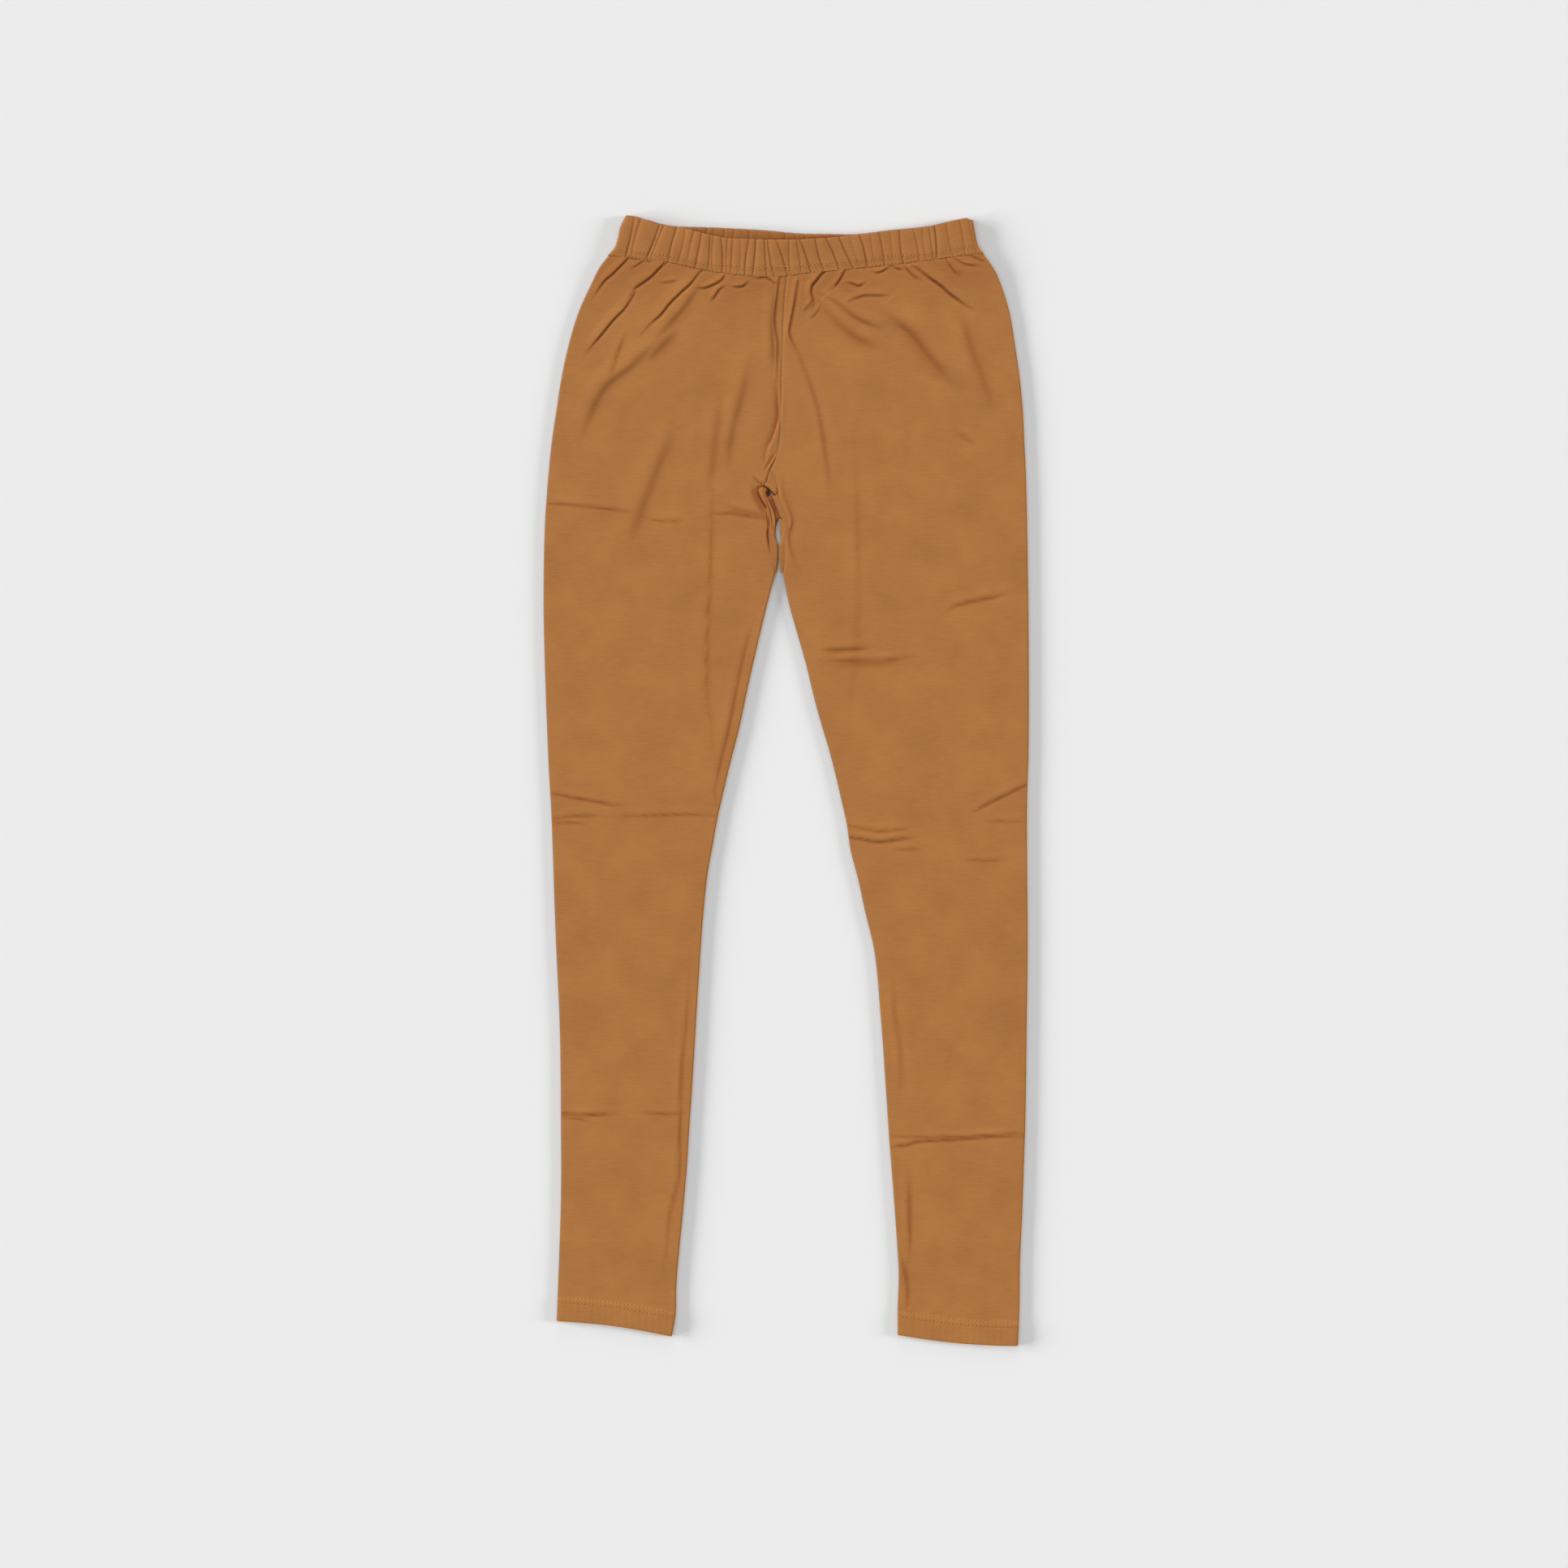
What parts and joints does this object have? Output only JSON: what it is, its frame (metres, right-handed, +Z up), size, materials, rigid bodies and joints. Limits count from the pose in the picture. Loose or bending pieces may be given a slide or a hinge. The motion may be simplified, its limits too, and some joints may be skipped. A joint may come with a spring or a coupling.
{
  "type": "churidar pants",
  "caption": "Snug stretch-knit churidar pants with a gathered elastic waistband, a folded crotch gusset and narrow hemmed legs, laid flat with the front up.",
  "frame": {"origin": "bottom centre of the garment's box, on the surface that it lies on", "axes": "+Z up off the surface, +Y along the garment towards the waist, +X towards the wearer's left leg, which lies at the picture's right"},
  "size_m": [0.4479, 1.044, 0.0059],
  "materials": {
    "leg_jersey": "matt single jersey in cotton and elastane, piece dyed tan",
    "waistband_jersey": "matt single jersey in cotton and elastane, doubled over elastic and gathered",
    "gusset_jersey": "matt single jersey in cotton and elastane, folded"
  },
  "bodies": {
    "root": {"waistband": "waistband_jersey", "leg_right": "leg_jersey", "leg_left": "leg_jersey", "crotch_gusset": "gusset_jersey"}
  },
  "joints": []
}
